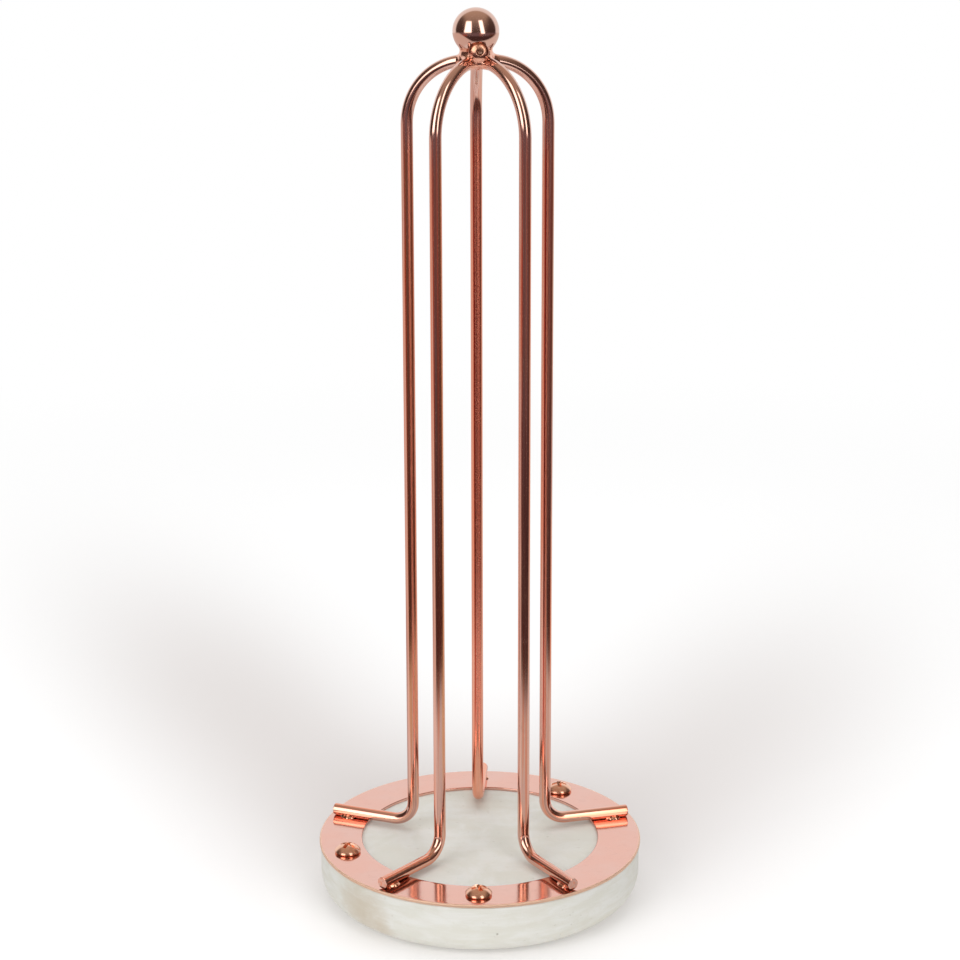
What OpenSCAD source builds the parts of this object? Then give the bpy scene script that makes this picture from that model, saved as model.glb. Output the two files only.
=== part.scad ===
// Upright holder for hair ties: a cage of five bent wires on a screwed ring plate,
// with a ball on top and a round wooden base with a soft pad underneath.
// Millimetres. Z is up, the origin is the centre of the underside, the front is -Y.

/* [Base] */

// distance that the wooden base is set in from the rim of the ring plate
base_inset = 0.5; // [0.2:0.1:2]

// thickness of the wooden base
base_h = 19.8; // [18:0.1:30]

// radius of the rounded lower edge of the base
base_edge_r = 9; // [5:0.5:12]

// radius of the small ease along the upper edge of the base
base_ease_r = 0.8; // [0.4:0.1:2]

// thickness of the felt pad
pad_t = 1.6; // [1.2:0.1:3]

// depth of the shallow recess that takes the pad
pad_recess = 0.6; // [0.3:0.1:1]

// distance from the flat underside's rim to the pad's rim
pad_inset = 3; // [1:0.5:8]

/* [Ring plate] */

// outside diameter of the ring plate
plate_d = 120; // [116:1:130]

// width of the ring between its rim and its open centre
ring_w = 15.9; // [14:0.1:18]

// thickness of the ring plate
plate_t = 1.2; // [0.8:0.1:2]

// radius that softens all four edges of the ring plate
plate_ease_r = 0.3; // [0.1:0.05:0.35]

/* [Cage wires] */

// diameter of the cage wire
wire_d = 4.3; // [3.6:0.1:5]

// radius of the circle on which the upright wires stand
cage_r = 26.05; // [23:0.05:32]

// height of the wire's centre at the top of the cage, above the ring plate
cage_h = 291; // [200:1:340]

// bend radius of the arch at the top, at the wire's centre
arch_r = 23; // [16:0.5:24]

// bend radius above each foot, at the wire's centre
bend_r = 8; // [5:0.5:12]

// angle by which the uprights lead their own feet round the axis
cage_twist = 2.8; // [0:0.1:6]

// distance from the rim of the ring plate back to the sawn end of each foot
foot_setback = 1.7; // [0.5:0.1:3]

// gap between foot and ring plate that the weld fills
foot_gap = 0.15; // [0.1:0.05:0.4]

// distance from the sawn end of a foot back to the centre of its weld
weld_back = 5.5; // [4:0.5:9]

// radius of a weld where it lies on the ring plate
weld_r = 2.8; // [2.5:0.1:3.4]

// height of a weld above the ring plate
weld_h = 0.9; // [0.6:0.1:1.4]

/* [Crown] */

// diameter of the ball on top
ball_d = 16.2; // [14:0.1:20]

// distance that the ball sits to the left of the cage's axis
ball_shift = 0.8; // [0:0.1:1.6]

// radius of the brazed collar that joins the wires under the ball
collar_r = 5.6; // [5:0.1:7]

// distance that the collar hangs below the wires
collar_lip = 0.5; // [0.3:0.1:1.5]

// height of the collar above the wires, where it holds the ball
collar_rise = 1.7; // [1:0.1:2.2]

// radius of the run of braze on the front of the collar
bead_r = 3.3; // [2.8:0.1:3.6]

// distance of the centre of that run from the axis
bead_reach = 5.5; // [5:0.1:6]

/* [Screws] */

// distance from the rim of the ring plate in to the middle of each screw
screw_inset = 8.9; // [8:0.1:9.5]

// diameter of a screw head
head_d = 9.6; // [8:0.1:10.4]

// height of the straight rim of a screw head
head_rim_h = 1; // [0.6:0.1:1.5]

// height of the dome above that rim
head_dome_h = 2.3; // [1.6:0.1:2.6]

// diameter of a screw shank
shank_d = 4.8; // [4:0.1:5]

// length of a screw below its head
shank_l = 14; // [10:0.5:15]

// radial clearance between a shank and its hole in the ring plate
shank_clear = 0.3; // [0.2:0.05:0.6]

// width of one arm of the cross recess
recess_w = 1.4; // [1.1:0.1:1.6]

// length of the cross recess from tip to tip
recess_l = 5.6; // [4.4:0.1:6]

// depth of the cross recess
recess_depth = 2; // [1.4:0.1:2.2]

/* [Hidden] */

$fn = 96;
eps = 0.01;
shank_tip_h = 3;
recess_taper = 0.45;
bead_az = 267;
bead_lift = 1.8;

screw_front_az = 270.5;
screw_left_az = 198;
screw_back_az = 54;
screw_front_turn = 20;
screw_left_turn = 62;
screw_back_turn = 5;

wire_r = wire_d / 2;
plate_r = plate_d / 2;
plate_hole_r = plate_r - ring_w;
ball_r = ball_d / 2;
base_r = plate_r - base_inset;
pad_r = base_r - base_edge_r - pad_inset;
screw_circle_r = plate_r - screw_inset;
head_r = head_d / 2;
shank_r = shank_d / 2;

base_z = pad_t - pad_recess;
plate_z = base_z + base_h;
plate_top = plate_z + plate_t;
foot_z = plate_top + foot_gap + wire_r;
apex_z = plate_top + cage_h;
arch_z = apex_z - arch_r;
crown_z = apex_z + wire_r;
ball_z = crown_z + ball_r;

foot_r = plate_r - foot_setback;
crown_straight = max(cage_r - arch_r, eps);
weld_ball_r = (weld_r * weld_r + weld_h * weld_h) / (2 * weld_h);
dome_ball_r = (head_r * head_r + head_dome_h * head_dome_h) / (2 * head_dome_h);

// plan vector from an upright to the sawn end of its foot, seen along the upright's own radius
foot_run = foot_r * [cos(cage_twist), -sin(cage_twist)] - [cage_r, 0];
foot_len = norm(foot_run);
foot_turn = atan2(foot_run[1], foot_run[0]);

// Everything inside this frame starts at an upright's axis and runs outward along its foot.
module at_foot(az) {
    rotate([0, 0, az + cage_twist])
        translate([cage_r, 0, 0])
            rotate([0, 0, foot_turn])
                children();
}

// Foot, lower bend, upright, arch and the short straight into the collar. Foot and bend are
// turned about their own centre lines so that all the pieces of a wire meet at the same point.
module bent_wire(az) {
    at_foot(az) {
        translate([bend_r, 0, foot_z])
            rotate([0, 90, 0])
                rotate([0, 0, 180 + foot_turn])
                    cylinder(r = wire_r, h = foot_len - bend_r);
        translate([bend_r, 0, foot_z + bend_r])
            rotate([90, 0, 0])
                rotate([0, 0, 180])
                    rotate_extrude(angle = 90)
                        translate([bend_r, 0])
                            rotate(180 - foot_turn)
                                circle(r = wire_r);
    }
    rotate([0, 0, az + cage_twist]) {
        translate([cage_r, 0, foot_z + bend_r])
            cylinder(r = wire_r, h = arch_z - foot_z - bend_r);
        translate([cage_r - arch_r, 0, arch_z])
            rotate([90, 0, 0])
                rotate_extrude(angle = 90)
                    translate([arch_r, 0])
                        circle(r = wire_r);
        translate([0, 0, apex_z])
            rotate([0, 90, 0])
                cylinder(r = wire_r, h = crown_straight);
    }
}

// The collar and the run of braze before the ball and wires are taken out of it.
module crown_form() {
    translate([0, 0, apex_z - wire_r - collar_lip])
        cylinder(r = collar_r, h = wire_d + collar_lip + collar_rise);
    translate([bead_reach * cos(bead_az), bead_reach * sin(bead_az), crown_z + bead_lift])
        rotate([0, 90, bead_az])
            sphere(r = bead_r);
}

module ball_form() {
    translate([-ball_shift, 0, ball_z])
        sphere(r = ball_r);
}

module cage_wire(az) {
    color([0.78, 0.49, 0.38])
        difference() {
            bent_wire(az);
            crown_form();
        }
}

// A low round mound that the foot is bedded in.
module foot_weld(az) {
    color([0.80, 0.52, 0.42])
        difference() {
            at_foot(az)
                translate([foot_len - weld_back, 0, plate_top])
                    intersection() {
                        translate([0, 0, weld_h - weld_ball_r])
                            sphere(r = weld_ball_r);
                        cylinder(r = weld_r + 1, h = weld_h + 1);
                    }
            bent_wire(az);
        }
}

// Shank with its conical tip, hanging from the top of the ring plate.
module shank_form(az, extra = 0) {
    translate([screw_circle_r * cos(az), screw_circle_r * sin(az), plate_top - shank_l]) {
        translate([0, 0, shank_tip_h])
            cylinder(r = shank_r, h = shank_l - shank_tip_h + extra);
        cylinder(r1 = 0.4, r2 = shank_r, h = shank_tip_h);
    }
}

module head_form() {
    cylinder(r = head_r, h = head_rim_h);
    translate([0, 0, head_rim_h])
        intersection() {
            translate([0, 0, head_dome_h - dome_ball_r])
                sphere(r = dome_ball_r);
            cylinder(r = head_r, h = head_dome_h + 1);
        }
}

// Cross recess, narrower at the bottom.
module cross_recess() {
    head_h = head_rim_h + head_dome_h;
    translate([0, 0, head_h + eps])
        mirror([0, 0, 1])
            linear_extrude(height = recess_depth + eps, scale = recess_taper) {
                square([recess_l, recess_w], center = true);
                square([recess_w, recess_l], center = true);
            }
}

module plate_screw(az, turn) {
    color([0.80, 0.50, 0.38]) {
        shank_form(az);
        translate([screw_circle_r * cos(az), screw_circle_r * sin(az), plate_top])
            difference() {
                head_form();
                rotate([0, 0, turn])
                    cross_recess();
            }
    }
}

module felt_pad() {
    color([0.82, 0.80, 0.76])
        cylinder(r = pad_r, h = pad_t);
}

module base_disc() {
    color([0.87, 0.85, 0.81])
        difference() {
            translate([0, 0, base_z])
                rotate_extrude() {
                    square([base_r - base_edge_r, base_h]);
                    translate([0, base_edge_r])
                        square([base_r, base_h - base_edge_r - base_ease_r]);
                    translate([0, base_h - base_ease_r - eps])
                        square([base_r - base_ease_r, base_ease_r + eps]);
                    translate([base_r - base_edge_r, base_edge_r])
                        intersection() {
                            circle(r = base_edge_r);
                            translate([0, -base_edge_r])
                                square([base_edge_r, base_edge_r]);
                        }
                    translate([base_r - base_ease_r, base_h - base_ease_r])
                        intersection() {
                            circle(r = base_ease_r);
                            square([base_ease_r, base_ease_r]);
                        }
                }
            cylinder(r = pad_r, h = pad_t);
            shank_form(screw_front_az, 1);
            shank_form(screw_left_az, 1);
            shank_form(screw_back_az, 1);
        }
}

module plate_hole(az) {
    translate([screw_circle_r * cos(az), screw_circle_r * sin(az), plate_z - 1])
        cylinder(r = shank_r + shank_clear, h = plate_t + 2);
}

module ring_plate() {
    color([0.80, 0.52, 0.42])
        difference() {
            translate([0, 0, plate_z])
                rotate_extrude() {
                    translate([plate_hole_r + plate_ease_r, 0])
                        square([plate_r - plate_hole_r - 2 * plate_ease_r, plate_t]);
                    translate([plate_hole_r, plate_ease_r])
                        square([plate_r - plate_hole_r, plate_t - 2 * plate_ease_r]);
                    for (x = [plate_hole_r + plate_ease_r, plate_r - plate_ease_r])
                        for (y = [plate_ease_r, plate_t - plate_ease_r])
                            translate([x, y])
                                circle(r = plate_ease_r);
                }
            plate_hole(screw_front_az);
            plate_hole(screw_left_az);
            plate_hole(screw_back_az);
        }
}

module crown_collar() {
    color([0.80, 0.50, 0.38])
        difference() {
            crown_form();
            ball_form();
        }
}

module ball_finial() {
    color([0.78, 0.52, 0.44])
        ball_form();
}

module wire_back() { cage_wire(90); }

module wire_left() { cage_wire(162); }

module wire_front_left() { cage_wire(234); }

module wire_front_right() { cage_wire(306); }

module wire_right() { cage_wire(18); }

module weld_back_foot() { foot_weld(90); }

module weld_left_foot() { foot_weld(162); }

module weld_front_left_foot() { foot_weld(234); }

module weld_front_right_foot() { foot_weld(306); }

module weld_right_foot() { foot_weld(18); }

module screw_front() { plate_screw(screw_front_az, screw_front_turn); }

module screw_left() { plate_screw(screw_left_az, screw_left_turn); }

module screw_back() { plate_screw(screw_back_az, screw_back_turn); }

felt_pad();
base_disc();
ring_plate();
wire_back();
wire_left();
wire_front_left();
wire_front_right();
wire_right();
weld_back_foot();
weld_left_foot();
weld_front_left_foot();
weld_front_right_foot();
weld_right_foot();
crown_collar();
ball_finial();
screw_front();
screw_left();
screw_back();
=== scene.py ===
import math

import bpy
import numpy as np
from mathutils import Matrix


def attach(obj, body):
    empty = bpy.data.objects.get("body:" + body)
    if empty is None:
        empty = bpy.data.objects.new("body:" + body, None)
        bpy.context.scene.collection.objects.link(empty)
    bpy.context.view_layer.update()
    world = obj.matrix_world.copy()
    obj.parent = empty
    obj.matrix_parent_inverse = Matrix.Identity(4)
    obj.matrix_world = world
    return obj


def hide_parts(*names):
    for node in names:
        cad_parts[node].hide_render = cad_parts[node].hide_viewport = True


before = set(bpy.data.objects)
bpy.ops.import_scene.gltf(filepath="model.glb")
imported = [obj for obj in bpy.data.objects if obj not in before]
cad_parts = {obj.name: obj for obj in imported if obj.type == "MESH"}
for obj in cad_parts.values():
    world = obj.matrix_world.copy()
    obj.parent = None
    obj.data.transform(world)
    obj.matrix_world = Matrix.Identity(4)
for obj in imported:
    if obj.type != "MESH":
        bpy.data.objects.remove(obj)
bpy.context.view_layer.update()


# The viewpoint. A long lens stands a metre in front of the holder and half a metre up, and
# looks down a little, so that the whole cage and the round base fill the frame.
camera_data = bpy.data.cameras.new("viewpoint")
camera_data.lens = 107.95
camera_data.sensor_width = 36.0
viewpoint = bpy.data.objects.new("viewpoint", camera_data)
viewpoint.location = (0.01785, -0.98878, 0.4750)
viewpoint.rotation_euler = (math.radians(72.41), math.radians(0.1125), math.radians(0.9803))
bpy.context.scene.collection.objects.link(viewpoint)
bpy.context.scene.camera = viewpoint
bpy.context.scene.view_settings.view_transform = "Standard"


# The studio. A pale room stands behind the holder and a dim one in front of it, where the
# viewpoint is, with two tall soft lamps left and right. Polished metal mirrors both.
class Flow:
    """One shader socket. Sums, products and the like on it add the Math nodes for them."""

    def __init__(self, finish, socket):
        self.finish = finish
        self.socket = socket

    def math(self, operation, *others):
        return self.finish.node("ShaderNodeMath", {"operation": operation}, self, *others)

    def __add__(self, other):
        return self.math("ADD", other)

    def __radd__(self, other):
        return self.math("ADD", other)

    def __sub__(self, other):
        return self.math("SUBTRACT", other)

    def __rsub__(self, other):
        return self.finish.node("ShaderNodeMath", {"operation": "SUBTRACT"}, other, self)

    def __mul__(self, other):
        return self.math("MULTIPLY", other)

    def __rmul__(self, other):
        return self.math("MULTIPLY", other)

    def __truediv__(self, other):
        return self.math("DIVIDE", other)

    def above(self, low, high):
        """0 below low, 1 above high, and a smooth step between them."""
        settings = {"interpolation_type": "SMOOTHSTEP"}
        return self.finish.node("ShaderNodeMapRange", settings, self, low, high, 0.0, 1.0)

    def within(self, low, high, soft):
        """1 between low and high, with a soft edge at both ends."""
        return self.above(low - soft, low + soft) * (1.0 - self.above(high - soft, high + soft))


class Finish:
    """The node tree of one material or of the room."""

    def __init__(self, name, owner=None):
        self.owner = owner or bpy.data.materials.new(name)
        self.owner.use_nodes = True
        self.tree = self.owner.node_tree
        self.tree.nodes.clear()

    def node(self, kind, settings, *values, pick=0, **named):
        """Adds one node: its settings first, then the values or links of its sockets."""
        made = self.tree.nodes.new(kind)
        for key, value in settings.items():
            setattr(made, key, value)
        sockets = [s for s in made.inputs if s.enabled]
        pairs = list(zip(sockets, values))
        pairs += [(made.inputs[key.replace("_", " ")], value) for key, value in named.items()]
        for socket, value in pairs:
            if isinstance(value, Flow):
                self.tree.links.new(value.socket, socket)
            elif value is not None:
                socket.default_value = value
        outputs = [s for s in made.outputs if s.enabled]
        return Flow(self, made.outputs[pick] if isinstance(pick, str) else outputs[pick])

    def blend(self, factor, first, second):
        """The first colour where the factor is 0 and the second where it is 1."""
        settings = {"data_type": "RGBA"}
        return self.node("ShaderNodeMix", settings, factor, first, second)

    def split(self, vector):
        """The x, y and z of a vector."""
        return [self.node("ShaderNodeSeparateXYZ", {}, vector, pick=k) for k in (0, 1, 2)]

    def place(self):
        """Where a point lies on the object, in metres."""
        return self.node("ShaderNodeTexCoord", {}, pick="Object")

    def stretch(self, vector, scale, shift=(0.0, 0.0, 0.0)):
        """The vector shifted and scaled along each axis."""
        return self.node("ShaderNodeMapping", {}, vector, shift, (0.0, 0.0, 0.0), scale)

    def noise(self, vector, scale, detail=3.0, roughness=0.55, distortion=0.0):
        """Cloudy noise between 0 and 1."""
        return self.node("ShaderNodeTexNoise", {}, Vector=vector, Scale=scale, Detail=detail,
                         Roughness=roughness, Distortion=distortion)

    def output(self, surface, kind="ShaderNodeOutputMaterial"):
        """Ends the tree with what the surface or the room gives off."""
        end = self.tree.nodes.new(kind)
        self.tree.links.new(surface.socket, end.inputs[0])


room = bpy.data.worlds.new("room")
bpy.context.scene.world = room
room.cycles.sampling_method = "NONE"
air = Finish("room", room)
ray = {name: air.node("ShaderNodeLightPath", {}, pick=f"Is {name} Ray")
       for name in ("Camera", "Glossy", "Transmission")}
toward = air.node("ShaderNodeTexCoord", {}, pick="Generated")
side, depth, up = air.split(toward)
lean_y = depth - 0.988
lean_z = up + 0.152
size = (side * side + lean_y * lean_y + lean_z * lean_z).math("SQRT").math("MAXIMUM", 0.0001)
u = side / size
v = (lean_y * 0.152 + lean_z * 0.988) / size
low_room = air.blend(u.within(0.16, 0.30, 0.04), (0.190, 0.128, 0.140, 1.0),
                     (0.35, 0.16, 0.135, 1.0))
faded = 1.0 - up.above(-0.225, -0.195) * 0.75
low_room = air.blend(u.within(-0.56, -0.36, 0.03) * faded, low_room, (0.47, 0.092, 0.048, 1.0))
low_room = air.blend(u.within(0.58, 0.82, 0.04) * faded, low_room, (0.135, 0.048, 0.020, 1.0))
low_room = air.blend(up.above(-0.36, -0.20), (0.070, 0.036, 0.034, 1.0), low_room)
near_floor = (u * u * 1.36 + v * v * 5.2).above(0.93, 1.15)
low_room = air.blend(near_floor, low_room, (0.84, 0.74, 0.68, 1.0))
low_room = air.blend((0.0 - u - v * 1.6).above(0.80, 0.90), low_room, (0.78, 0.64, 0.59, 1.0))
ceiling = air.blend(v.above(-0.15, 0.85), (0.10, 0.068, 0.060, 1.0), (0.54, 0.42, 0.33, 1.0))
flank = (u * u).above(0.10, 0.36) * (1.0 - v.above(0.45, 0.80))
ceiling = air.blend(flank * 0.8, ceiling, (0.060, 0.036, 0.032, 1.0))
high_room = air.blend((u * u + v * v).above(0.66, 0.76), ceiling, (0.98, 0.97, 0.96, 1.0))
scene_light = air.blend(v.above(-0.12, -0.04), low_room, high_room)
left_lamp = (u - v * 0.2).above(-0.50, -0.44) * (1.0 - u.above(-0.20, -0.15))
left_lamp = left_lamp * v.within(-0.07, 0.40, 0.03)
right_lamp = (u + v * 0.217).within(0.215, 0.37, 0.025) * v.within(-0.11, 0.44, 0.03)
scene_light = air.blend(left_lamp.math("MAXIMUM", right_lamp), scene_light, (2.8, 2.7, 2.55, 1.0))
soft_light = air.blend(up.above(-0.4, 0.6), (0.46, 0.455, 0.45, 1.0), (0.50, 0.50, 0.50, 1.0))
seen = air.blend(ray["Glossy"], soft_light, scene_light)
seen = air.blend(ray["Camera"].math("MAXIMUM", ray["Transmission"]), seen, (1.0, 1.0, 1.0, 1.0))
air.output(air.node("ShaderNodeBackground", {}, seen, 1.0), "ShaderNodeOutputWorld")

for lamp_name, lamp_place, lamp_size, lamp_watts in (
    ("left_soft_lamp", (-0.85, -1.05, 0.85), (0.85, 1.0), 7.6),
    ("right_soft_lamp", (0.65, -1.15, 0.80), (0.7, 1.2), 6.2),
    ("high_soft_lamp", (0.0, 0.3, 1.6), (1.4, 1.4), 8.0),
):
    lamp_data = bpy.data.lights.new(lamp_name, "AREA")
    lamp_data.shape = "RECTANGLE"
    lamp_data.size, lamp_data.size_y = lamp_size
    lamp_data.energy = lamp_watts
    lamp = bpy.data.objects.new(lamp_name, lamp_data)
    lamp.location = lamp_place
    aim = np.array((0.0, 0.0, 0.12)) - np.array(lamp_place)
    across = math.hypot(aim[0], aim[1])
    lamp.rotation_euler = (math.atan2(across, -aim[2]), 0.0, math.atan2(-aim[0], aim[1]))
    lamp.visible_glossy = False
    lamp.visible_camera = False
    bpy.context.scene.collection.objects.link(lamp)


# The table top. A sheet of white paper on which the holder stands, a little greyer behind and round
# the holder, a painted shadow out of the lamps' full light. It ends some 30 cm in front of the
# holder.
def closed_skin(name, rings, start=None, end=None):
    """A mesh from rings of points, each joined to the next and closed on itself.

    Points start and end close the skin with a fan of triangles. Without them the last
    ring joins the first. Faces are turned outwards by the sign of the volume, the sum of
    the triple products of their corners.
    """
    count, steps = rings.shape[:2]
    here = np.arange(count * steps).reshape(count, steps)
    beside = np.roll(here, -1, axis=1)
    points = rings.reshape(-1, 3)
    if start is None:
        rows = (here, beside, np.roll(beside, -1, axis=0), np.roll(here, -1, axis=0))
        fans = np.zeros((0, 3), int)
    else:
        rows = (here[:-1], beside[:-1], beside[1:], here[1:])
        last = len(points)
        points = np.vstack([points, start, end])
        near = np.stack([beside[0], here[0], np.full(steps, last)], axis=-1)
        far = np.stack([here[-1], beside[-1], np.full(steps, last + 1)], axis=-1)
        fans = np.vstack([near, far])
    quads = np.stack(rows, axis=-1).reshape(-1, 4)
    corners = points - points.mean(axis=0)
    a, b, c, d = (corners[quads[:, k]] for k in range(4))
    volume = np.einsum("ij,ij->", a, np.cross(b, c)) + np.einsum("ij,ij->", a, np.cross(c, d))
    if len(fans):
        p, q, r = (corners[fans[:, k]] for k in range(3))
        volume += np.einsum("ij,ij->", p, np.cross(q, r))
    if volume < 0:
        quads, fans = quads[:, ::-1], fans[:, ::-1]
    mesh = bpy.data.meshes.new(name)
    mesh.from_pydata(points.tolist(), [], quads.tolist() + fans.tolist())
    mesh.polygons.foreach_set("use_smooth", np.ones(len(mesh.polygons), bool))
    return mesh


def lathe(name, profile, steps, radial=None):
    """A profile of (radius, height) points turned about the Z axis.

    Every profile point gives a ring of radius r, optionally changed by radial(angle, r, z).
    A profile that starts and ends on the axis is closed there by its two end points.
    """
    profile = np.asarray(profile, float)
    solid = profile[0, 0] == 0.0
    rim = profile[1:-1] if solid else profile
    angle = np.linspace(0.0, 2.0 * math.pi, steps, endpoint=False)
    r = np.repeat(rim[:, :1], steps, axis=1)
    z = np.repeat(rim[:, 1:], steps, axis=1)
    if radial is not None:
        r = r + radial(angle[None, :], r, z)
    rings = np.stack([r * np.cos(angle), r * np.sin(angle), z], axis=-1)
    if not solid:
        return closed_skin(name, rings)
    ends = [(0.0, 0.0, profile[k, 1]) for k in (0, -1)]
    return closed_skin(name, rings, *ends)


def put(name, mesh, finish, slot, *nodes):
    """Links a finished piece, gives it its material, and lets it stand for CAD nodes."""
    piece = bpy.data.objects.new(name, mesh)
    bpy.context.scene.collection.objects.link(piece)
    mesh.materials.append(finish)
    if slot:
        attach(piece, "root")
        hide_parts(*nodes)
    return piece


paper = Finish("table_paper")
paper_x, paper_y = paper.split(paper.place())[:2]


def shade_lobe(deep, cx, cy, wide, far, turned):
    """A soft patch of painted shadow: deep times e to the minus a*a + b*b.

    Here a is the distance from its middle across it in widths, and b along it in lengths.
    """
    c, s = math.cos(turned), math.sin(turned)
    dx, dy = paper_x - cx, paper_y - cy
    a = (dx * c + dy * s) / wide
    b = (dy * c - dx * s) / far
    return (0.0 - (a * a + b * b)).math("EXPONENT") * deep


# Painted shadow: two long lobes behind the holder, where its shadows from the two front lamps fall,
# and a round one about the base.
painted_shadow = shade_lobe(0.198, -0.104, 0.172, 0.066, 0.195, 0.406)
painted_shadow = painted_shadow + shade_lobe(0.168, 0.100, 0.145, 0.072, 0.170, -0.341)
painted_shadow = painted_shadow + shade_lobe(0.165, 0.0, 0.060, 0.076, 0.085, 0.0)
painted_shadow = (painted_shadow / 0.25).math("MINIMUM", 1.0)
paper_colour = paper.blend(painted_shadow, (0.90, 0.90, 0.90, 1.0), (0.565, 0.520, 0.500, 1.0))
paper_lit = paper.node("ShaderNodeBsdfDiffuse", {}, paper_colour)
reach = (paper_x * paper_x + paper_y * paper_y).math("SQRT")
paper_glow = paper.node("ShaderNodeEmission", {}, (1.0, 1.0, 1.0, 1.0), 1.0)
bright = paper.node("ShaderNodeEmission", {}, (1.0, 1.0, 1.0, 1.0), 0.2)
paper_seen = paper.node("ShaderNodeAddShader", {}, paper_lit, bright)
paper_seen = paper.node("ShaderNodeMixShader", {}, reach.above(0.45, 0.75), paper_seen, paper_glow)
camera_ray = paper.node("ShaderNodeLightPath", {}, pick="Is Camera Ray")
mirror_ray = paper.node("ShaderNodeLightPath", {}, pick="Is Glossy Ray")
# Painted light: under the base and just round it the paper glows for every ray but the camera's, to
# lighten the base's lower round from below.
painted_bounce_glow = paper.node("ShaderNodeEmission", {}, (1.0, 1.0, 0.98, 1.0), 0.24)
painted_bounce_glow = paper.node("ShaderNodeAddShader", {}, paper_lit, painted_bounce_glow)
paper_lit = paper.node("ShaderNodeMixShader", {}, reach.above(0.060, 0.085), painted_bounce_glow, paper_lit)
nothing = paper.node("ShaderNodeBsdfTransparent", {}, (1.0, 1.0, 1.0, 1.0))
mirrored = mirror_ray * (0.3 + 0.7 * reach.above(0.20, 0.28))
paper_end = paper.node("ShaderNodeMixShader", {}, mirrored, paper_lit, nothing)
paper.output(paper.node("ShaderNodeMixShader", {}, camera_ray, paper_end, paper_seen))

paper_mesh = bpy.data.meshes.new("table_top")
paper_mesh.from_pydata([(-2.0, -0.34, 0.0), (2.0, -0.34, 0.0), (2.0, 2.4, 0.0), (-2.0, 2.4, 0.0)],
                       [], [(0, 1, 2, 3)])
put("table_top", paper_mesh, paper.owner, None)


# The felt pad. A disc of pressed grey felt is glued in a shallow recess under the base and
# keeps the wood a millimetre off the table. Its cut edge is a little ragged.
pad_radius, pad_top = 0.0475, 0.0016
felt = Finish("pressed_felt")
felt_place = felt.place()
fibres = felt.noise(felt_place, 2600.0, 4.0, 0.7)
tufts = felt.noise(felt_place, 420.0, 3.0)
felt_colour = felt.blend(fibres * 0.6 + tufts * 0.4, (0.40, 0.385, 0.36, 1.0),
                         (0.62, 0.60, 0.56, 1.0))
felt_bump = felt.node("ShaderNodeBump", {}, Strength=0.6, Distance=0.0003, Height=fibres)
felt.output(felt.node("ShaderNodeBsdfPrincipled", {}, Base_Color=felt_colour, Roughness=0.95,
                      Normal=felt_bump))


def ragged(angle, r, z):
    """A small sum of sines round the rim, which fades out inside the disc."""
    waves = np.sin(37 * angle + 1.0) + 0.7 * np.sin(61 * angle)
    waves = waves + 0.5 * np.sin(113 * angle + z * 4000)
    return 0.00008 * waves * (r > 0.0465)


pad_profile = [(0.0, 0.0), (0.024, 0.0), (0.0468, 0.0), (0.0474, 0.0002), (pad_radius, 0.0006),
               (pad_radius, 0.0010), (0.0474, 0.0014), (0.0470, pad_top), (0.024, pad_top),
               (0.0, pad_top)]
put("pad_felt", lathe("pad_felt", pad_profile, 360, ragged), felt.owner, "felt", "felt_pad")


# The base. A disc turned from a pale softwood board with a generous round along its lower
# edge, then rubbed with thin white paint, so that knots and grain still show through here
# and there. It carries the ring plate.
base_radius, base_low, base_top = 0.0595, 0.0010, 0.0208
low_round, high_round = 0.009, 0.0008


def arc(centre, radius, first, last, count):
    """Points of (radius, height) on a circle between two angles in degrees."""
    angle = np.radians(np.linspace(first, last, count))
    return np.stack([centre[0] + radius * np.cos(angle), centre[1] + radius * np.sin(angle)], -1)


def hand_rubbed(angle, r, z):
    """Sanding leaves the side a few hundredths of a millimetre out of true."""
    slow = np.sin(3 * angle + 0.4) + 0.6 * np.sin(7 * angle + 400 * z)
    slow = slow + 0.4 * np.sin(13 * angle - 900 * z)
    return 0.00004 * slow * np.clip((r - 0.040) / 0.015, 0, 1)


base_profile = np.vstack([
    [(0.0, pad_top), (0.030, pad_top), (pad_radius, pad_top), (pad_radius, base_low)],
    [(0.0490, base_low)],
    arc((base_radius - low_round, base_low + low_round), low_round, -90, 0, 22),
    np.stack([np.full(10, base_radius), np.linspace(0.0112, 0.0195, 10)], -1),
    arc((base_radius - high_round, base_top - high_round), high_round, 0, 90, 7),
    [(radius, base_top) for radius in (0.0560, 0.0500, 0.0440, 0.0350, 0.0250, 0.0120, 0.0)],
])
base_mesh = lathe("base_wood", base_profile, 420, hand_rubbed)
base_mesh.set_sharp_from_angle(angle=math.radians(50))

wood = Finish("whitewashed_softwood")
spot = wood.place()
wx, wy, wz = wood.split(spot)
wander = wood.noise(wood.stretch(spot, (6.0, 30.0, 30.0)), 1.0, 2.0) - 0.5
ring_y = wy + 0.031
ring_z = wz + 0.045
growth = (ring_y * ring_y + ring_z * ring_z).math("SQRT") * 1500.0 + wander * 9.0
rings_seen = (growth.math("SINE") * 0.5 + 0.5).math("POWER", 2.2)
streaks = wood.noise(wood.stretch(spot, (28.0, 420.0, 420.0)), 1.0, 4.0, 0.65)
blotch = wood.noise(spot, 38.0, 3.0, 0.5, 0.4)
brush = wood.noise(wood.stretch(spot, (60.0, 60.0, 900.0)), 1.0, 3.0, 0.6)
fine = wood.noise(spot, 1500.0, 3.0, 0.6)
cloud = wood.noise(wood.stretch(spot, (110.0, 110.0, 260.0)), 1.0, 4.0, 0.65, 0.5)


def knot(cx, cy, cz, radius, ragged_by=0.5):
    """1 at a knot's middle, falling to 0 at its rim, with a wavy outline."""
    dx, dy, dz = wx - cx, wy - cy, wz - cz
    span = (dx * dx + dy * dy + dz * dz).math("SQRT") + (cloud - 0.5) * (ragged_by * radius)
    return 1.0 - span.above(radius * 0.25, radius)


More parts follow.
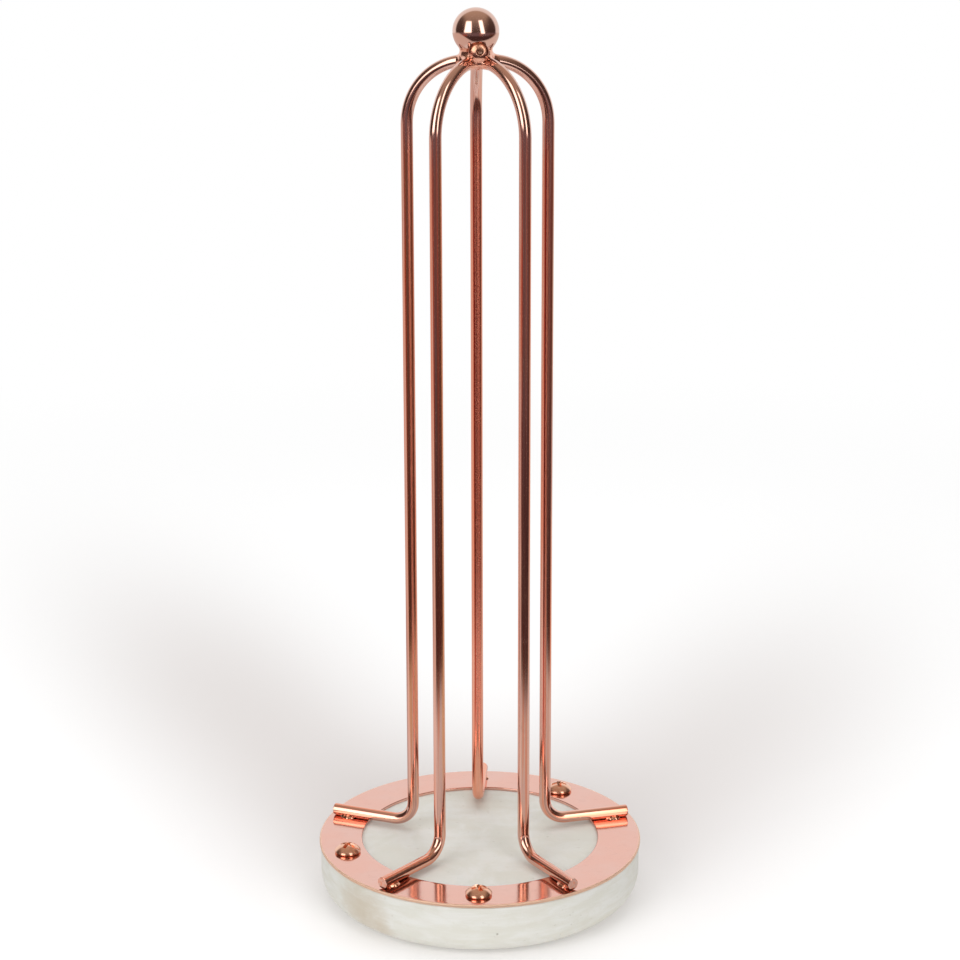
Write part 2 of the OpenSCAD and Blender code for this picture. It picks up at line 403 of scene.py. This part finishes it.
stain = knot(-0.0415, -0.0412, 0.0110, 0.0150, 1.3)
stain = stain.math("MAXIMUM", knot(-0.0350, -0.0463, 0.0075, 0.0085, 1.3))
stain = stain.math("MAXIMUM", knot(0.030, 0.049, 0.012, 0.013) * 0.8)
dents = knot(-0.0500, -0.0297, 0.0100, 0.0007)
dents = dents.math("MAXIMUM", knot(-0.0362, -0.0464, 0.0115, 0.0008))
dents = dents.math("MAXIMUM", knot(0.0072, -0.0591, 0.0103, 0.0006))
dents = dents.math("MAXIMUM", knot(0.0520, -0.0276, 0.0158, 0.0007))
dents = dents.math("MAXIMUM", knot(-0.020, 0.056, 0.0115, 0.0010))
pits = wood.noise(wood.stretch(spot, (500.0, 500.0, 900.0)), 1.0, 2.0, 0.5).above(0.70, 0.76)
mottle = wood.noise(wood.stretch(spot, (70.0, 70.0, 220.0)), 1.0, 4.0, 0.62, 0.4)
scuff = wood.noise(wood.stretch(spot, (90.0, 90.0, 520.0)), 1.0, 4.0, 0.7, 0.8)
thin = (rings_seen * 0.22 + streaks.above(0.52, 0.78) * 0.28 + blotch.above(0.5, 0.75) * 0.35) * 0.5
bare = (thin + scuff.above(0.60, 0.72) * 0.28).math("MINIMUM", 1.0)
paint = wood.blend(mottle.above(0.38, 0.64), (0.715, 0.708, 0.645, 1.0), (0.765, 0.762, 0.722, 1.0))
paint = wood.blend(brush.above(0.45, 0.7) * 0.35, paint, (0.69, 0.68, 0.61, 1.0))
bare_wood = wood.blend(streaks, (0.50, 0.42, 0.30, 1.0), (0.64, 0.57, 0.45, 1.0))
wood_colour = wood.blend(bare * 0.55, paint, bare_wood)
wood_colour = wood.blend(stain * (0.25 + 0.75 * cloud), wood_colour, (0.56, 0.475, 0.36, 1.0))
wood_colour = wood.blend(pits * 0.28, wood_colour, (0.36, 0.31, 0.24, 1.0))
wood_colour = wood.blend(dents * 0.5, wood_colour, (0.20, 0.16, 0.11, 1.0))
wood_rough = 0.62 + streaks * 0.12 - bare * 0.08
relief = streaks * 0.3 + brush * 0.3 + fine * 0.25 - dents * 2.5 - pits * 0.8
relief = relief + mottle * 0.9 + scuff * 0.6
wood_bump = wood.node("ShaderNodeBump", {}, Strength=0.35, Distance=0.0004, Height=relief)
wood.output(wood.node("ShaderNodeBsdfPrincipled", {}, Base_Color=wood_colour, Roughness=wood_rough,
                      Normal=wood_bump))
put("base_wood", base_mesh, wood.owner, "whitewashed_wood", "base_disc")


# The ring plate. Sheet steel, blanked with a large open centre, its edges dulled, and
# plated with bright rose copper. Three screws hold it down on the wood.
plate_radius, hole_radius, plate_top, edge_round = 0.0600, 0.0441, 0.0220, 0.0003


def copper(name, colour, warm, rough, line_scale=None, lay=None, ripple=0.0, over=None):
    """Rose copper plating: slow changes of tint, faint handling marks and polishing lines.

    Drawn wire shows darker and redder lines along it, and braze ripples as it sets. The
    function over adds what only one piece has to the colour and the roughness.
    """
    metal = Finish(name)
    where = metal.place()
    tint = metal.noise(where, 55.0, 3.0)
    smear = metal.noise(metal.stretch(where, (1.0, 1.6, 0.7)), 240.0, 4.0, 0.6, 0.8)
    shade = metal.blend(tint.above(0.35, 0.7), colour, warm)
    dull = smear.above(0.52, 0.78)
    base = metal.blend(dull * 0.25, shade, [part * 0.86 for part in colour[:3]] + [1.0])
    marks = metal.noise(where, 3200.0, 2.0)
    height = marks * 0.3 + smear * 0.7
    if lay is not None:
        along = metal.node("ShaderNodeAttribute", {"attribute_name": lay}, pick="Vector")
        lines = metal.noise(metal.stretch(along, (line_scale, line_scale, 9.0)), 1.0, 2.0, 0.6)
        height = lines * 1.0 + marks * 0.12
        base = metal.blend(lines.above(0.50, 0.60) * 0.85, base, (0.84, 0.31, 0.19, 1.0))
        base = metal.blend(1.0 - lines.above(0.36, 0.44), base, (0.58, 0.32, 0.27, 1.0))
    bump = metal.node("ShaderNodeBump", {}, Strength=0.10, Distance=0.00006, Height=height)
    if ripple:
        swell = metal.noise(where, 360.0, 1.0, 0.5, 0.4)
        bump = metal.node("ShaderNodeBump", {}, Strength=ripple, Distance=0.0010, Height=swell,
                          Normal=bump)
    roughness = rough + dull * 0.05 + marks * 0.03
    if over is not None:
        base, roughness = over(metal, where, base, roughness)
    metal.output(metal.node("ShaderNodeBsdfPrincipled", {}, Base_Color=base, Metallic=1.0,
                            Roughness=roughness, Normal=bump))
    return metal.owner


def dull_edge_painted_highlight(metal, where, base, roughness):
    """The blanked outer edge is dull and tan, its tan partly a painted reflection, and along its
    upper corner runs a pale painted highlight.
    """
    mx, my, mz = metal.split(where)
    edge = (mx * mx + my * my).math("SQRT").above(plate_radius - 0.0006, plate_radius - 0.0003)
    painted_highlight_corner = mz.above(plate_top - 0.0006, plate_top - 0.0003)
    # Painted reflection and highlight: a tan outer edge, pale along its upper corner.
    face = metal.blend(painted_highlight_corner, (0.80, 0.53, 0.38, 1.0), (0.98, 0.72, 0.57, 1.0))
    return metal.blend(edge, base, face), roughness + edge * (painted_highlight_corner * 0.30 + 0.22)


plate_copper = copper("rose_copper_sheet", (0.82, 0.475, 0.395, 1.0), (0.80, 0.50, 0.43, 1.0), 0.10,
                      over=dull_edge_painted_highlight)
outer, inner = plate_radius - edge_round, hole_radius + edge_round
plate_profile = np.vstack([
    arc((outer, base_top + edge_round), edge_round, -90, 0, 6),
    arc((outer, plate_top - edge_round), edge_round, 0, 90, 6),
    [(radius, plate_top) for radius in (0.0585, 0.0560, 0.0520, 0.0480, 0.0455)],
    arc((inner, plate_top - edge_round), edge_round, 90, 180, 6),
    arc((inner, base_top + edge_round), edge_round, 180, 270, 6),
    [(radius, base_top) for radius in (0.0455, 0.0520, 0.0585)],
])
put("plate_sheet", lathe("plate_sheet", plate_profile, 480), plate_copper,
    "copper_plate", "ring_plate")


# The cage wires. Five lengths of 4.3 mm steel wire, each cold-bent from one piece: a foot that
# lies on the plate, an upright, and an arch in to the crown. All are copper plated after
# welding, so the drawing lines of the wire still show along them.
wire_radius, cage_radius, arch_radius, bend_radius = 0.00215, 0.02605, 0.023, 0.008
foot_height, apex_height = 0.0243, 0.3130
lead = math.radians(2.8)
foot_reach = plate_radius - 0.0017
foot_run = foot_reach * np.array([math.cos(lead), -math.sin(lead)]) - np.array([cage_radius, 0.0])
foot_length = math.hypot(*foot_run)
foot_turn = math.atan2(foot_run[1], foot_run[0])


def wire_mesh(name, azimuth):
    """A tube along a bent centre line.

    The line runs in a plane that stands on the upright: outward distance and height follow
    the foot, a quarter circle, the upright, a second quarter circle and the crown. The plane
    turns from the foot's direction to the cage's own radius along the upright. Round each
    point of it, a ring is drawn square to the line: radius times (cosine of the ring's angle
    on the plane's normal, plus sine of it on the line's own normal).
    """
    quarter = np.linspace(0.0, math.pi / 2, 26)
    arch_height = apex_height - arch_radius
    out_foot = np.array([foot_length, foot_length, foot_length - 0.0001, foot_length - 0.00035])
    out_foot = np.append(out_foot, np.linspace(foot_length - 0.0012, bend_radius + 0.0005, 30))
    out = np.concatenate([
        out_foot, bend_radius - bend_radius * np.sin(quarter), np.zeros(120),
        -arch_radius + arch_radius * np.cos(quarter),
        np.linspace(-arch_radius - 0.0004, -cage_radius + 0.0015, 3),
    ])
    upright = np.linspace(foot_height + bend_radius + 0.001, arch_height - 0.001, 120)
    height = np.concatenate([
        np.full(len(out_foot), foot_height),
        foot_height + bend_radius - bend_radius * np.cos(quarter),
        upright, arch_height + arch_radius * np.sin(quarter), np.full(3, apex_height),
    ])
    girth = np.full(len(out), wire_radius)
    girth[:4] = (0.00180, 0.00201, 0.00212, wire_radius)
    share = np.clip((height - upright[0]) / (upright[-1] - upright[0]), 0.0, 1.0)
    plane = azimuth + lead + foot_turn * (1.0 - share)
    slope_out, slope_up = np.gradient(out), np.gradient(height)
    slope_out[:4] = -1.0
    slope_up[:4] = 0.0
    size = np.hypot(slope_out, slope_up)
    slope_out, slope_up = slope_out / size, slope_up / size
    radial = np.stack([np.cos(plane), np.sin(plane), 0 * plane], -1)
    across = np.stack([-np.sin(plane), np.cos(plane), 0 * plane], -1)
    rise = np.array([0.0, 0.0, 1.0])
    own = -slope_up[:, None] * radial + slope_out[:, None] * rise
    foot_of = cage_radius * np.array([math.cos(azimuth + lead), math.sin(azimuth + lead), 0.0])
    line = foot_of + out[:, None] * radial + height[:, None] * rise
    turn_round = np.linspace(0.0, 2.0 * math.pi, 40, endpoint=False)
    ring = (np.cos(turn_round)[None, :, None] * across[:, None, :]
            + np.sin(turn_round)[None, :, None] * own[:, None, :])
    rings = line[:, None, :] + girth[:, None, None] * ring
    mesh = closed_skin(name, rings, line[0], line[-1])
    run = np.concatenate([[0.0], np.cumsum(np.linalg.norm(np.diff(line, axis=0), axis=1))])
    lay = np.stack([
        np.tile(np.cos(turn_round) * wire_radius, len(out)),
        np.tile(np.sin(turn_round) * wire_radius, len(out)), np.repeat(run + azimuth, 40),
    ], -1)
    lay = np.vstack([lay, (0.0, 0.0, azimuth), (0.0, 0.0, azimuth + run[-1])])
    mesh.attributes.new("lay", "FLOAT_VECTOR", "POINT").data.foreach_set("vector", lay.ravel())
    mesh.set_sharp_from_angle(angle=math.radians(40))
    return mesh


def wire_tints_and_painted_reflections(metal, where, base, roughness):
    """A redder back upright, paler arches, and painted reflections: light and dark streaks along
    some uprights.

    Each streak is given by its wire's azimuth and by how far it lies to either side of the
    wire's own axis, in millimetres, on the half of the wire that faces the front.
    """
    mx, my, mz = metal.split(where)
    arched = mz.above(0.276, 0.296)
    share = my.above(0.010, 0.024) * (1.0 - arched)
    base = metal.blend(share * 0.6, base, (0.96, 0.40, 0.26, 1.0))
    roughness = roughness + share * 0.05
    upright = mz.above(0.040, 0.070) * (1.0 - arched)
    sway = (metal.noise(metal.stretch(where, (30.0, 30.0, 14.0)), 1.0, 2.0) - 0.5) * 0.0005
    # Painted reflections: each streak stands in for part of the room mirrored in the wire, on its
    # front half only.
    for azimuth, first, last, painted_reflection, softer in (
        (90, -1.05, -0.58, (0.62, 0.05, 0.015, 1.0), 0.00),
        (90, -0.50, 1.40, (1.00, 0.35, 0.23, 1.0), 0.10),
        (18, -1.05, -0.58, (0.62, 0.05, 0.015, 1.0), 0.00),
        (18, -0.50, 0.25, (1.00, 0.36, 0.23, 1.0), 0.22),
        (162, -1.00, 0.05, (0.78, 0.35, 0.18, 1.0), 0.00),
        (162, 0.25, 1.00, (1.00, 0.36, 0.22, 1.0), 0.18),
        (162, 1.15, 1.60, (0.84, 0.32, 0.15, 1.0), 0.00),
        (234, 1.05, 1.90, (0.84, 0.42, 0.22, 1.0), 0.04),
    ):
        turned = math.radians(azimuth) + lead
        aside = mx - cage_radius * math.cos(turned) + sway
        mask = aside.within(first * 0.001, last * 0.001, 0.0001) * upright
        mask = mask * (1.0 - (my - cage_radius * math.sin(turned)).above(-0.0002, 0.0004))
        base = metal.blend(mask * 0.9, base, painted_reflection)
        roughness = roughness + mask * softer
    return metal.blend(arched * 0.75, base, (0.74, 0.49, 0.42, 1.0)), roughness


wire_copper = copper("rose_copper_wire", (0.81, 0.48, 0.39, 1.0), (0.81, 0.49, 0.375, 1.0), 0.10,
                     950.0, "lay", over=wire_tints_and_painted_reflections)
for wire_name, wire_azimuth in (("wire_back", 90), ("wire_left", 162), ("wire_front_left", 234),
                                ("wire_front_right", 306), ("wire_right", 18)):
    put(wire_name + "_rod", wire_mesh(wire_name + "_rod", math.radians(wire_azimuth)), wire_copper,
        "copper_plate", wire_name)


# The foot welds. Each foot is caught on the plate by one low resistance weld, a squeezed-out
# rim of steel a few millimetres back from the sawn end, plated with the rest.
weld_back, weld_long, weld_wide, weld_high = 0.0055, 0.0029, 0.00265, 0.0011


def weld_mesh(name, azimuth, seed):
    """A low mound: height falls with the fourth power of the distance from its middle.

    The outline is an ellipse with a few small waves, longer along the foot.
    """
    round_about = np.linspace(0.0, 2.0 * math.pi, 72, endpoint=False)
    share = np.linspace(0.0, 1.0, 18)[1:]
    wave = 1.0 + 0.05 * np.sin(3 * round_about + seed) + 0.035 * np.sin(7 * round_about + 2 * seed)
    along = share[:, None] * wave * weld_long * np.cos(round_about)
    aside = share[:, None] * wave * weld_wide * np.sin(round_about)
    tall = weld_high * (1.0 - share[:, None] ** 4) * np.ones_like(along)
    top = np.stack([along, aside, tall], -1)
    under = top[-1:] - np.array([0.0, 0.0, 0.0001])
    grid = np.concatenate([top, under], axis=0)
    middle = foot_length - weld_back
    azimuth = azimuth + lead
    plane = azimuth + foot_turn
    ahead = np.array([math.cos(plane), math.sin(plane), 0.0])
    left = np.array([-math.sin(plane), math.cos(plane), 0.0])
    spot_at = cage_radius * np.array([math.cos(azimuth), math.sin(azimuth), 0.0]) + middle * ahead
    spot_at = spot_at + np.array([0.0, 0.0, plate_top])
    rise = np.array([0.0, 0.0, 1.0])
    place = spot_at + grid[..., :1] * ahead + grid[..., 1:2] * left + grid[..., 2:] * rise
    ends = [spot_at + (0.0, 0.0, weld_high), spot_at - (0.0, 0.0, 0.0001)]
    return closed_skin(name, place, *ends)


weld_copper = copper("plated_weld", (0.84, 0.44, 0.32, 1.0), (0.86, 0.47, 0.31, 1.0), 0.16)
for weld_name, weld_azimuth, weld_seed in (
    ("weld_back_foot", 90, 0.3), ("weld_left_foot", 162, 1.1), ("weld_front_left_foot", 234, 2.3),
    ("weld_front_right_foot", 306, 3.6), ("weld_right_foot", 18, 5.0),
):
    put(weld_name + "_bead", weld_mesh(weld_name + "_bead", math.radians(weld_azimuth), weld_seed),
        weld_copper, "braze", weld_name)


# The screws. Round-head wood screws with a cross recess, copper plated, driven through the
# ring plate midway between feet. Each was stopped at its own angle.
screw_circle, head_radius, dome_rise, head_top = 0.0511, 0.0048, 0.0023, 0.0033
slot_half_width, slot_half_length, slot_depth, shank_length = 0.00074, 0.0028, 0.0019, 0.0140


def screw_mesh(name, azimuth, turned):
    """A domed head over a plain shank with a pointed tip.

    Height over the head is that of a sphere's cap less the depth of two crossed slots whose
    walls slope. Below it, rings follow the head's rim, its underside, the shank and the tip.
    """
    round_about = np.linspace(0.0, 2.0 * math.pi, 240, endpoint=False)
    radius = np.concatenate([np.linspace(0.0, 0.0031, 52)[1:], np.linspace(0.0032, 0.0047, 14)])
    x, y = radius[:, None] * np.cos(round_about), radius[:, None] * np.sin(round_about)
    sphere = (head_radius ** 2 + dome_rise ** 2) / (2 * dome_rise)
    cap = np.sqrt(sphere ** 2 - radius ** 2) - sphere + head_top

    def slot(length, breadth):
        wall = np.minimum((slot_half_width - np.abs(breadth)) * 5.0,
                          (slot_half_length - np.abs(length)) * 2.6)
        return np.clip(wall, 0.0, slot_depth)

    tall = cap[:, None] - np.maximum(slot(x, y), slot(y, x))
    top = np.stack([x, y, tall], -1)
    outline = np.array([
        (0.00476, 0.00105), (head_radius, 0.00094), (head_radius, 0.00068), (0.00477, 0.00050),
        (0.00468, 0.00032), (0.00450, 0.00018), (0.0042, 0.00006), (0.0036, 0.0),
        (0.0025, 0.0), (0.0024, -0.0001), (0.0024, -0.0055),
        (0.0024, -0.0110), (0.0012, -0.0126), (0.0004, -0.0139), (0.0002, -shank_length),
    ])
    lower = np.stack([outline[:, :1] * np.cos(round_about), outline[:, :1] * np.sin(round_about),
                      np.repeat(outline[:, 1:], 240, axis=1)], -1)
    grid = np.concatenate([top, lower], axis=0)
    c, s = math.cos(turned), math.sin(turned)
    turned_grid = np.stack([c * grid[..., 0] - s * grid[..., 1],
                            s * grid[..., 0] + c * grid[..., 1], grid[..., 2]], -1)
    seat = np.array([screw_circle * math.cos(azimuth), screw_circle * math.sin(azimuth), plate_top])
    ends = [seat + (0.0, 0.0, head_top - slot_depth), seat - (0.0, 0.0, shank_length)]
    mesh = closed_skin(name, turned_grid + seat, *ends)
    mesh.set_sharp_from_angle(angle=math.radians(38))
    return mesh


screw_copper = copper("plated_screw", (0.86, 0.50, 0.37, 1.0), (0.88, 0.53, 0.38, 1.0), 0.17)
for screw_name, screw_azimuth, screw_turn in (("screw_front", 270.5, 20), ("screw_left", 198, 62),
                                              ("screw_back", 54, 5)):
    put(screw_name + "_head", screw_mesh(screw_name + "_head", math.radians(screw_azimuth),
                                         math.radians(screw_turn)),
        screw_copper, "screw_plate", screw_name)


# The ball. Turned steel, polished and plated. It sits in the brazed crown, a little to the
# left of the axis, where it was held while the braze set.
ball_x, ball_height, ball_radius = -0.0008, 0.32325, 0.0081


def ball_mesh(name):
    """A sphere of radius 8.1 mm whose radius wanders by a hundredth of a millimetre or so."""
    down = np.linspace(0.0, math.pi, 98)[1:-1][:, None]
    round_about = np.linspace(0.0, 2.0 * math.pi, 160, endpoint=False)[None, :]
    wander = 0.6 * np.sin(2 * round_about + 0.7) + 0.4 * np.cos(3 * down + round_about)
    size = ball_radius * (1.0 + 0.0014 * wander * np.sin(down))
    grid = size[..., None] * np.stack([
        np.sin(down) * np.cos(round_about), np.sin(down) * np.sin(round_about),
        np.cos(down) * np.ones_like(round_about),
    ], -1) + np.array([ball_x, 0.0, ball_height])
    poles = [(ball_x, 0.0, ball_height + end) for end in (ball_radius, -ball_radius)]
    return closed_skin(name, grid, *poles)


ball_copper = copper("polished_ball", (0.71, 0.47, 0.405, 1.0), (0.73, 0.48, 0.395, 1.0), 0.10)
put("finial_ball", ball_mesh("finial_ball"), ball_copper, "copper_plate", "ball_finial")


# The crown. The five wire ends are brazed together under the ball. The filler has drawn up
# the ball and out along the wires, and a run of it stands out at the front.
run_x, run_y, run_z, run_radius = 0.0003, -0.0073, 0.3170, 0.0036
pit_x, pit_y, pit_z, pit_radius = 0.0008, -0.0093, 0.3174, 0.0012


def crown_mesh(name):
    """The outside of several forms that melt into each other, seen from one point within.

    Each form has a distance: to a ball, a round collar, or a line of wire whose girth
    shrinks outwards. A smooth minimum joins them: the least of two, less a quarter of the
    squared overlap of their distances over the width of the blend. Along every direction
    from the middle, the surface is where that turns positive, found by halving an interval.
    """
    down = np.linspace(0.0, math.pi, 122)[1:-1][:, None]
    round_about = np.linspace(0.0, 2.0 * math.pi, 200, endpoint=False)[None, :]
    ray_out = np.stack([
        np.sin(down) * np.cos(round_about), np.sin(down) * np.sin(round_about),
        np.cos(down) * np.ones_like(round_about),
    ], -1)
    middle = np.array([0.0, -0.001, 0.3143])

    def melt(first, second, width):
        overlap = np.clip(width - np.abs(first - second), 0.0, None) / width
        return np.minimum(first, second) - overlap ** 2 * width * 0.25

    def distance(point):
        x, y, z = point[..., 0], point[..., 1], point[..., 2]
        reach_out = np.hypot(x + 0.0007, y)
        collar = np.hypot(np.clip(reach_out - 0.0042, 0, None),
                          np.clip(np.abs(z - 0.3142) - 0.0012, 0, None))
        form = collar - 0.0017
        for wire_azimuth in (90, 162, 234, 306, 18):
            a = math.radians(wire_azimuth) + lead
            out = x * math.cos(a) + y * math.sin(a)
            past = np.clip(out - (cage_radius - arch_radius), 0, None)
            drop = arch_radius - np.sqrt(np.clip(arch_radius ** 2 - past ** 2, 0, None))
            aside = np.hypot(-x * math.sin(a) + y * math.cos(a), z - (apex_height - drop))
            girth = 0.00232 - 0.00042 * np.clip((out - 0.0060) / 0.0030, 0, 2)
            stub = np.maximum(aside - girth, out - 0.0100)
            stub = np.maximum(stub, -out)
            form = melt(form, stub, 0.0016)
        socket = np.sqrt((x - ball_x) ** 2 + y ** 2 + (z - ball_height) ** 2)
        socket = socket - ball_radius - 0.00003
        rim = np.where(y < 0, 0.3171 + 0.94 * np.sqrt(np.clip(0.0035 ** 2 - x ** 2, 0, None)), 0.0)
        form = melt(form, np.maximum(socket, z - np.maximum(rim, 0.3181)), 0.0016)
        run = np.sqrt((x - run_x) ** 2 + (1.8 * (y - run_y)) ** 2 + (z - run_z) ** 2) - run_radius
        pit = np.sqrt((x - pit_x) ** 2 + (y - pit_y) ** 2 + (z - pit_z) ** 2) - pit_radius
        return np.maximum(melt(form, run, 0.0006), -pit)

    low, high = np.zeros(ray_out.shape[:2]), np.full(ray_out.shape[:2], 0.013)
    for _ in range(28):
        half = (low + high) / 2
        inside = distance(middle + half[..., None] * ray_out) < 0
        low, high = np.where(inside, half, low), np.where(inside, high, half)
    grid = middle + low[..., None] * ray_out
    return closed_skin(name, grid, grid[0].mean(axis=0), grid[-1].mean(axis=0))


def pit_seam_and_painted_reflection(metal, where, base, roughness):
    """Darker in the pit, a dark red seam over the run where it meets the ball, and an orange-brown
    brow on the run's top, a painted reflection of the ball above it.
    """
    mx, my, mz = metal.split(where)
    dx, dy, dz = mx - pit_x, my - pit_y, mz - pit_z
    ragged_by = (metal.noise(where, 900.0, 2.0) - 0.5) * 0.0016
    pit_darkening = 1.0 - ((dx * dx + dy * dy + dz * dz).math("SQRT") + ragged_by).above(0.0009, 0.0016)
    tall = mz - 0.3171
    around = ((mx - run_x) * (mx - run_x) + tall * tall).math("SQRT") + ragged_by * 0.2
    front = 1.0 - my.above(-0.0048, -0.0040)
    seam = around.within(0.0027, 0.0043, 0.0003) * tall.above(-0.0014, 0.0002) * front
    # Painted reflection: the orange-brown brow on top of the run stands in for the ball mirrored in
    # it.
    painted_reflection_brow = tall.above(-0.0002, 0.0008) * front
    base = metal.blend(painted_reflection_brow * 0.5, base, (0.80, 0.42, 0.26, 1.0))
    base = metal.blend(seam * 0.9, base, (0.36, 0.085, 0.04, 1.0))
    roughness = roughness + pit_darkening * 0.25 + painted_reflection_brow * 0.16
    return metal.blend(pit_darkening * 0.85, base, (0.20, 0.14, 0.11, 1.0)), roughness


crown_copper = copper("plated_braze", (0.85, 0.45, 0.33, 1.0), (0.86, 0.49, 0.37, 1.0), 0.17,
                      ripple=0.2, over=pit_seam_and_painted_reflection)
put("crown_braze", crown_mesh("crown_braze"), crown_copper, "braze", "crown_collar")
